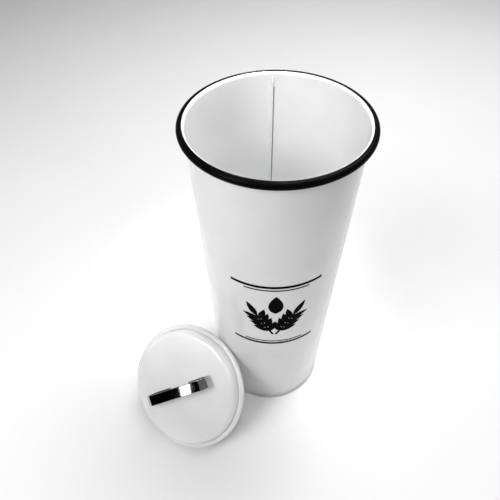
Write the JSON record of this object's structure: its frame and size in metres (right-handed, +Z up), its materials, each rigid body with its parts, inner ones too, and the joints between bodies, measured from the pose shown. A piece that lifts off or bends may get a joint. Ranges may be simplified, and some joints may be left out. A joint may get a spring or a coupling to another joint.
{
  "type": "food canister",
  "caption": "Tall tapered white enamel food canister with a black rolled rim, and a domed lid with a bright strap handle leaning on it.",
  "frame": {"origin": "centre of the canister's base, on the table", "axes": "+Z up along the canister's axis; the front that the picture shows faces -Y"},
  "size_m": [0.1907, 0.1604, 0.29],
  "materials": {
    "white_enamel": "gloss",
    "black_enamel": "gloss",
    "bright_strap": "polished",
    "steel": "satin",
    "seal": "matt"
  },
  "bodies": {
    "canister": {"body_wall": "white_enamel", "rim_roll": "black_enamel", "base_disc": "white_enamel"},
    "lid": {"lid_shell": "white_enamel", "lid_collar": "white_enamel", "lid_seal": "seal", "handle_strap": "bright_strap", "handle_rivets": "steel", "handle_washers": "steel"}
  },
  "joints": [
    {"name": "lid_lift", "type": "slide", "parent": "canister", "child": "lid", "axis": [-0.3851, -0.593, 0.7071], "range_m": [0, 0.25]}
  ]
}
